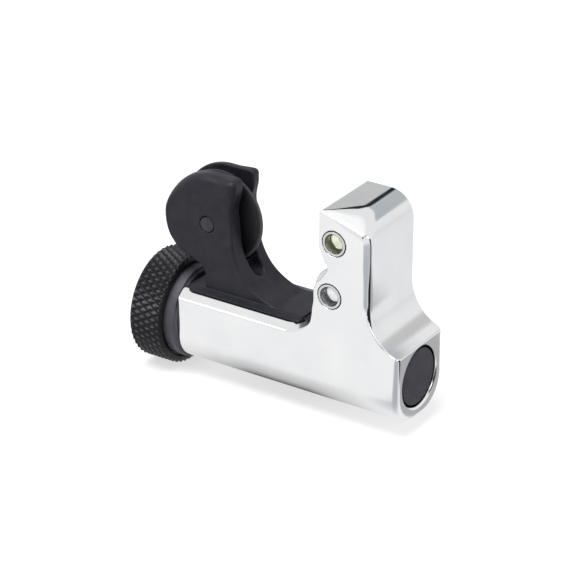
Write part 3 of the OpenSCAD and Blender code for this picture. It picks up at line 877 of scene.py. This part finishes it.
CHROME = chrome()
SLIDE_BLACK = dark_coat("slide_black", (0.011, 0.011, 0.016), (0.018, 0.018, 0.025), 0.33, 0.47,
                        0.28, 0.012, gloss=0.2)
KNOB_BLACK = knurl_coat()
COLLAR_BLACK = dark_coat("black_collar", (0.056, 0.055, 0.069), (0.084, 0.082, 0.099), 0.36, 0.48,
                         0.22, 0.008)
PLUG_BLACK = dark_coat("black_plastic", (0.034, 0.033, 0.043), (0.05, 0.048, 0.061), 0.5, 0.65, 0.25, 0.02)
PIN_BLACK = dark_coat("black_steel", (0.02, 0.02, 0.027), (0.033, 0.033, 0.043), 0.3, 0.45, 0.22, 0.008)
ROLLER_STEEL = steel("roller_steel", (0.55, 0.56, 0.58), (0.68, 0.69, 0.70), 0.14, 0.26, (0.15, 3, 0.15))
UPPER_ZINC = pin_zinc("upper_pin_zinc", upper_pin, (0.85, 0.86, 0.74), (0.62, 0.64, 0.5))
LOWER_ZINC = pin_zinc("lower_pin_zinc", lower_pin, (0.85, 0.86, 0.88), (0.62, 0.64, 0.64))
WHEEL_STEEL = wheel_steel()
WASHER_STEEL = steel("washer_steel", (0.25, 0.25, 0.26), (0.36, 0.36, 0.37), 0.22, 0.36)
SCREW_STEEL = steel("screw_steel", (0.42, 0.43, 0.45), (0.56, 0.57, 0.58), 0.2, 0.36)
BRASS = steel("brass", (0.58, 0.41, 0.16), (0.74, 0.55, 0.26), 0.2, 0.34)


# Pieces

def place(piece, body, slot, *nodes):
    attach(piece, body)
    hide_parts(*nodes)
    return piece


def make_frame():
    piece = field_piece("frame_casting", frame_field, frame_low, frame_high, 0.2, CHROME)
    place(piece, "frame", "frame_chrome", "frame")


def make_slide():
    piece = field_piece("slide_casting", slide_field, slide_low, slide_high, 0.2, SLIDE_BLACK)
    place(piece, "slide", "slide_black", "slide")


def make_plug():
    low, high = measured("end_plug")
    radius = high[2]
    wall, shy = 1.0, 0.36
    profile = rounded([(high[0], 0), (high[0], radius - shy), (high[0] - wall, radius - shy),
                       (high[0] - wall, radius), (low[0], radius), (low[0], radius - wall),
                       (high[0] - wall, radius - wall), (high[0] - wall, 0)], 0.22, 4, closed=False)
    piece = spun("plug", profile, (0, 0, 0), "x", PLUG_BLACK, 128, closed=False)
    place(piece, "frame", "black_plastic", "end_plug")


def make_collar():
    low, high = measured("screw_bushing")
    collar_r, spigot_r, hole_r = half_size("screw_bushing", 2), bore_r - press_clear, 3.05
    gap, gap_depth = 0.3, 0.8
    profile = rounded([(low[0], hole_r), (low[0], collar_r), (-gap, collar_r), (-gap, collar_r - gap_depth),
                       (0, collar_r - gap_depth), (0, spigot_r), (high[0], spigot_r), (high[0], hole_r)],
                      0.25, 4)
    piece = spun("bushing_collar", profile, (0, 0, 0), "x", COLLAR_BLACK, 160)
    place(piece, "frame", "black_collar", "screw_bushing")


def make_rollers():
    for node, pin in (("upper_roller", upper_pin), ("lower_roller", lower_pin)):
        half, hole = half_size(node, 1), roller_pin_r + run_clear
        profile = rounded([(-half, hole), (-half, roller_r), (half, roller_r), (half, hole)], 0.3, 4)
        piece = spun(node + "_barrel", profile, (pin[0], 0, pin[2]), "y", ROLLER_STEEL, 96)
        place(piece, node, "roller_steel", node)


def make_roller_pins():
    hollow_r, hollow_depth = 1.87, 2.1
    for node, pin, material in (("upper_roller_pin", upper_pin, UPPER_ZINC),
                                ("lower_roller_pin", lower_pin, LOWER_ZINC)):
        half = half_size(node, 1)
        floor = half - hollow_depth
        tip = floor - hollow_r / 2
        side = [(-tip, 0), (-floor, hollow_r), (-half, hollow_r), (-half, roller_pin_r)]
        profile = rounded(side + [(-a, r) for a, r in side[::-1]], 0.16, 3, closed=False)
        piece = spun(node + "_hollow", profile, (pin[0], 0, pin[2]), "y", material, 96, closed=False)
        place(piece, "frame", "pin_zinc", node)


def make_wheel():
    half, hub_r, hole, blade, edge_half = half_size("cutter_wheel", 1), 3.5, 1.3, 0.5, 0.02
    centre = (wheel_pin[0], wheel_plane, wheel_pin[2])
    profile = rounded([(-half, hole), (-half, hub_r), (-blade, hub_r), (-blade, wheel_r - wheel_edge)],
                      0.12, 2, closed=False)
    profile = profile + [(-edge_half, wheel_r)]
    profile = profile + [(-a, r) for a, r in profile[::-1]]
    piece = spun("cutting_disc", profile, centre, "y", WHEEL_STEEL, 160)
    place(piece, "cutter_wheel", "wheel_steel", "cutter_wheel")


def make_wheel_pin():
    low, high = measured("wheel_pin")
    head_end = low[1] + pin_head_len
    groove_r, groove, groove_end = 0.95, slide_half_w, slide_half_w + 0.6
    profile = rounded([(low[1], 0), (low[1], pin_head_r), (head_end, pin_head_r), (head_end, pin_shank_r),
                       (groove, pin_shank_r), (groove, groove_r), (groove_end, groove_r),
                       (groove_end, pin_shank_r), (high[1], pin_shank_r), (high[1], 0)], 0.12, 3,
                      closed=False)
    piece = spun("wheel_pin_turned", profile, (wheel_pin[0], 0, wheel_pin[2]), "y", PIN_BLACK, 64,
                 closed=False)
    place(piece, "slide", "black_steel", "wheel_pin")


def dress_node(node, material):
    """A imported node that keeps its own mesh, with a small bevel and its finish."""
    piece = frame["nodes"][node]
    piece.data.materials.clear()
    piece.data.materials.append(material)
    bevel = piece.modifiers.new("edges", "BEVEL")
    bevel.width = 0.06 * MM
    bevel.segments = 2
    bevel.limit_method = "ANGLE"
    bevel.angle_limit = 40 * DEG


def knurl(along, turn, radius):
    """Radius over the knob's drum: truncated pyramids between two sets of spiral grooves."""
    flat_from = 0.8
    turns = turn * knurl_count / (2 * math.pi) + 0.5
    u = np.abs(((turns + along / knurl_pitch) % 1) - 0.5) * 2
    v = np.abs(((turns - along / knurl_pitch) % 1) - 0.5) * 2
    height = 1 - np.maximum(u, v)
    return radius - knurl_depth * (1 - np.minimum(height, flat_from) / flat_from)


def make_knob():
    low, high = measured("knob")
    back, face = low[0], high[0]
    rim = knob_r - knob_bevel
    hole_r, screw_r, web = 1.7, 3.1, 0.6
    recess_r, recess_floor = 6.0, back + 2.6
    mouth, face_edge, corner, sliver = 0.25, 0.2, 0.15, 0.002
    well_r = half_size("screw_bushing", 2) + room
    seat = measured("screw_bushing")[0][0] - room / 4
    step = knurl_pitch / 12
    first = back + knob_bevel_len
    count = round((face - back - 2 * knob_bevel_len) / step)
    drum = [(first + i * step, knob_r) for i in range(-1, count + 2)]

    def shape(along, turn, radius):
        if radius < rim * 0.999:
            return np.full(len(turn), radius)
        from_rim = min(along - back, face - along)
        limit = min(knob_r, rim + from_rim * knob_bevel / knob_bevel_len)
        return np.minimum(knurl(along - back - knob_bevel_len, turn, knob_r), limit)

    behind = [(recess_floor, hole_r), (recess_floor, recess_r - corner), (recess_floor - corner, recess_r),
              (back + mouth, recess_r), (back, recess_r + mouth), (back, rim - mouth), (back + sliver, rim)]
    before = [(face - sliver, rim), (face, rim - face_edge), (face, well_r + corner),
              (face - corner, well_r), (seat, well_r), (seat, screw_r), (recess_floor + web, screw_r),
              (recess_floor + web, hole_r)]
    piece = spun("knurled_knob", behind + drum + before, (0, 0, 0), "x", KNOB_BLACK, knurl_count * 8,
                 shape=shape)
    place(piece, "knob", "knob_black", "knob")


def make_feed_screw():
    low, high = measured("feed_screw")
    crest, root = 3.0, 2.45
    thread_start, plain_tip = 4.7, 1.0
    per_turn = 28
    section = [(0.0, root), (0.18, root), (0.44, crest), (0.56, crest), (0.82, root)]
    count = int((high[0] - thread_start - plain_tip) / thread_pitch * per_turn)
    points, faces = [], []
    for i in range(count + 1):
        angle = -2 * math.pi * i / per_turn
        ends = min(i, count - i) / per_turn
        for along, radius in section:
            r = root + (radius - root) * min(1, ends * 2)
            points.append((thread_start + (i / per_turn + along) * thread_pitch, -r * math.sin(angle),
                           r * math.cos(angle)))
    width = len(section)
    for i in range(count):
        for k in range(width - 1):
            a = i * width + k
            faces.append((a, a + 1, a + 1 + width, a + width))
        if i + per_turn < count:
            a, b = (i + 1) * width - 1, (i + per_turn) * width
            faces.append((a, b, b + width, a + width))
    thread = mesh_piece("feed_screw_thread", points, faces, SCREW_STEEL)
    thread.data.set_sharp_from_angle(angle=30 * DEG)
    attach(thread, "knob")

    end_r, end_stop = 2.4, -2.8
    shoulder_r, shoulder, shoulder_end = 4.6, 2.9, 3.9
    relief_r, relief_end, root_start = 2.95, 4.5, 4.8
    tip_len, tip_drop = 0.6, 0.5
    profile = rounded([(low[0], 0), (low[0], end_r), (end_stop, end_r), (end_stop, crest),
                       (shoulder, crest), (shoulder, shoulder_r), (shoulder_end, shoulder_r),
                       (shoulder_end, relief_r), (relief_end, relief_r), (root_start, root),
                       (high[0] - tip_len, root), (high[0], root - tip_drop), (high[0], 0)], 0.1, 2,
                      closed=False)
    core = spun("feed_screw_core", profile, (0, 0, 0), "x", SCREW_STEEL, 72, closed=False)
    place(core, "knob", "screw_steel", "feed_screw")


make_frame()
make_slide()
make_plug()
make_collar()
make_rollers()
make_roller_pins()
make_wheel()
make_wheel_pin()
make_knob()
make_feed_screw()
for node, material in (("wheel_washers", WASHER_STEEL), ("wheel_pin_clip", PIN_BLACK),
                       ("thrust_washer", BRASS), ("feed_nut", BRASS), ("knob_screw", SCREW_STEEL),
                       ("lock_washer", WASHER_STEEL)):
    dress_node(node, material)


# Floor, light and camera

studio_heart = Vector((0.0, 0.0, 0.025))
dark = (0.02, 0.02, 0.025)
# Patches of the studio that polished metal reflects: azimuth from +X, elevation, full and fading
# radius in degrees, and colour
STUDIO = (
    (123, 26, 7, 13, (0.66, 0.67, 0.67)),
    (115, 35.5, 7.5, 10.0, (0.02, 0.022, 0.025)),
    (121, 42, 6, 9, (0.02, 0.022, 0.025)),
    (57, -26, 14, 40, (0.88, 0.885, 0.90)),
    (22, -29, 13, 22, (0.47, 0.475, 0.485)),
    (-33, -26, 8, 24, (0.48, 0.51, 0.55)),
    (-1, -14, 9, 13, dark),
    (-5, 5, 18, 26, dark),
    (-20, 40, 12, 18, dark),
    (-57, 26, 9, 15, (0.03, 0.03, 0.035)),
    (70, 30, 5, 14, (0.68, 0.68, 0.67)),
    (0, 90, 8, 20, grey(1.2)),
)
WHITE = (*grey(1.0), 1)


def studio_colour(graph, direction):
    """White, with the studio's patches laid over it by direction."""
    colour = WHITE
    for azimuth, elevation, full, fade, tint in STUDIO:
        a, e = azimuth * DEG, elevation * DEG
        centre = (math.cos(a) * math.cos(e), math.sin(a) * math.cos(e), math.sin(e))
        near = graph.vector("DOT_PRODUCT", direction, centre)
        mask = graph.spread(near, 0, 1, math.cos(fade * DEG), math.cos(full * DEG), "SMOOTHSTEP")
        colour = graph.mixed(mask, colour, (*tint, 1))
    return colour


def seen_directly(graph):
    """Camera rays, and a 1 for camera, glossy and transmission rays but 0 for light that falls on things."""
    path = graph.add("LightPath").outputs
    total = path["Is Camera Ray"]
    for name in ("Is Glossy Ray", "Is Transmission Ray"):
        total = graph.number("MAXIMUM", total, path[name])
    return path["Is Camera Ray"], total


def by_ray(graph, camera, shown, reflected):
    """One number for camera rays, and another for the rest."""
    return graph.spread(camera, reflected, shown, 0, 1)


def footprint(graph, position):
    """Light left on the floor as polished metal sees it, from its distance in metres to the tool."""
    steps = ((0.003, 0.16), (0.008, 0.56), (0.012, 0.72), (0.018, 0.92), (0.023, 0.97), (0.028, 1.0))
    half_core = (0.005, 0, 0)
    past = graph.vector("SUBTRACT", graph.vector("ABSOLUTE", position), half_core)
    away = graph.vector("LENGTH", graph.vector("MAXIMUM", past, (0, 0, 0)))
    return graph.bands(away, steps[-1][0], *[(at, grey(light)) for at, light in steps])


def whiten(graph, camera, colour):
    """White for the camera, and the studio for reflections."""
    return graph.mixed(camera, colour, WHITE)


def make_world():
    world = bpy.data.worlds.new("studio")
    bpy.context.scene.world = world
    graph = Graph(world)
    graph.nodes.clear()
    camera, direct = seen_directly(graph)
    direction = graph.add("TexCoord").outputs["Generated"]
    shown = graph.add("Background", {"Color": whiten(graph, camera, studio_colour(graph, direction))})
    ambient = graph.add("Background", {"Color": (0.97, 0.985, 1.0, 1), "Strength": 0.45})
    graph.add("OutputWorld", {"Surface": graph.shaded(direct, ambient.outputs[0], shown.outputs[0])})


def flat_sheet(name, finish, corners):
    """A sheet with four corners, and the empty node tree of its material."""
    mesh = bpy.data.meshes.new(name)
    mesh.from_pydata(corners, [], [(0, 1, 2, 3)])
    sheet = bpy.data.objects.new(name, mesh)
    bpy.context.scene.collection.objects.link(sheet)
    material = bpy.data.materials.new(finish)
    mesh.materials.append(material)
    graph = Graph(material)
    graph.nodes.clear()
    return sheet, graph


def make_floor():
    """A pale floor, white to the camera. Its glow and its paint differ for reflections."""
    size, drop = 1.5, 0.02
    floor, graph = flat_sheet("floor", "pale_floor", [(-size, -size, 0), (size, -size, 0), (size, size, 0),
                                                      (-size, size, 0)])
    floor.location.z = cad_low.z - drop * MM
    camera, direct = seen_directly(graph)
    position = graph.add("NewGeometry").outputs["Position"]
    direction = graph.vector("NORMALIZE", graph.vector("SUBTRACT", position, studio_heart))
    studio = graph.tinted(studio_colour(graph, direction), footprint(graph, position))
    colour = whiten(graph, camera, studio)
    glow = graph.add("Emission", {"Color": colour, "Strength": by_ray(graph, camera, 0.62, 0.91)})
    paint = graph.add("BsdfDiffuse", {"Color": graph.tinted(colour, by_ray(graph, camera, 0.46, 0.14))})
    seen = graph.add("AddShader", {0: glow.outputs[0], 1: paint.outputs[0]})
    plain = graph.add("BsdfDiffuse", {"Color": (*grey(0.8), 1)})
    graph.add("OutputMaterial", {"Surface": graph.shaded(direct, plain.outputs[0], seen.outputs[0])})


def make_card():
    """A grey card behind the tool, seen only in polished metal, for the upright's crown."""
    left, right, back, bottom, top = -0.005, 0.075, 0.07, 0.078, 0.125
    card, graph = flat_sheet("card", "grey_card", [(left, back, bottom), (right, back, bottom),
                                                   (right, back, top), (left, back, top)])
    share = graph.add("SeparateXYZ", {0: graph.add("TexCoord").outputs["Generated"]}).outputs
    mask = graph.add("LightPath").outputs["Is Glossy Ray"]
    for axis, start, end in (("Z", 0.0, 0.12), ("Z", 1.0, 0.7), ("X", 0.0, 0.15), ("X", 1.0, 0.85)):
        mask = graph.number("MULTIPLY", mask, graph.spread(share[axis], 0, 1, start, end, "SMOOTHSTEP"))
    clear = graph.add("BsdfTransparent")
    shown = graph.add("Emission", {"Color": (0.55, 0.585, 0.61, 1)})
    graph.add("OutputMaterial", {"Surface": graph.shaded(mask, clear.outputs[0], shown.outputs[0])})


def area_light(name, at, aim, width, height, power):
    light = bpy.data.lights.new(name, "AREA")
    light.shape = "RECTANGLE"
    light.size, light.size_y = width, height
    light.energy = power
    lamp = bpy.data.objects.new(name, light)
    bpy.context.scene.collection.objects.link(lamp)
    lamp.location = at
    lamp.rotation_mode = "QUATERNION"
    lamp.rotation_quaternion = (Vector(aim) - Vector(at)).to_track_quat("-Z", "Y")


def make_lights():
    aim = (0, 0, 0.02)
    area_light("key", (-0.02, -0.2, 0.6), aim, 0.4, 0.35, 3.7)
    area_light("fill", (0.55, -0.2, 0.35), aim, 0.3, 0.4, 0.7)
    area_light("side", (-0.3, -0.26, 0.45), aim, 0.15, 0.15, 0.3)


def make_camera():
    data = bpy.data.cameras.new("camera")
    data.sensor_width = 36
    data.lens = 157.89
    data.clip_start, data.clip_end = 0.01, 10
    camera = bpy.data.objects.new("camera", data)
    bpy.context.scene.collection.objects.link(camera)
    azimuth, elevation, distance = 33.389 * DEG, 26.433 * DEG, 478.445 * MM
    target = Vector((0.168, 0, 21.589)) * MM
    back = Vector((math.sin(azimuth) * math.cos(elevation), -math.cos(azimuth) * math.cos(elevation),
                   math.sin(elevation)))
    camera.location = target + back * distance
    camera.rotation_mode = "QUATERNION"
    camera.rotation_quaternion = (-back).to_track_quat("-Z", "Y")
    bpy.context.scene.camera = camera


make_world()
make_floor()
make_card()
make_lights()
make_camera()
bpy.context.scene.view_settings.view_transform = "Standard"
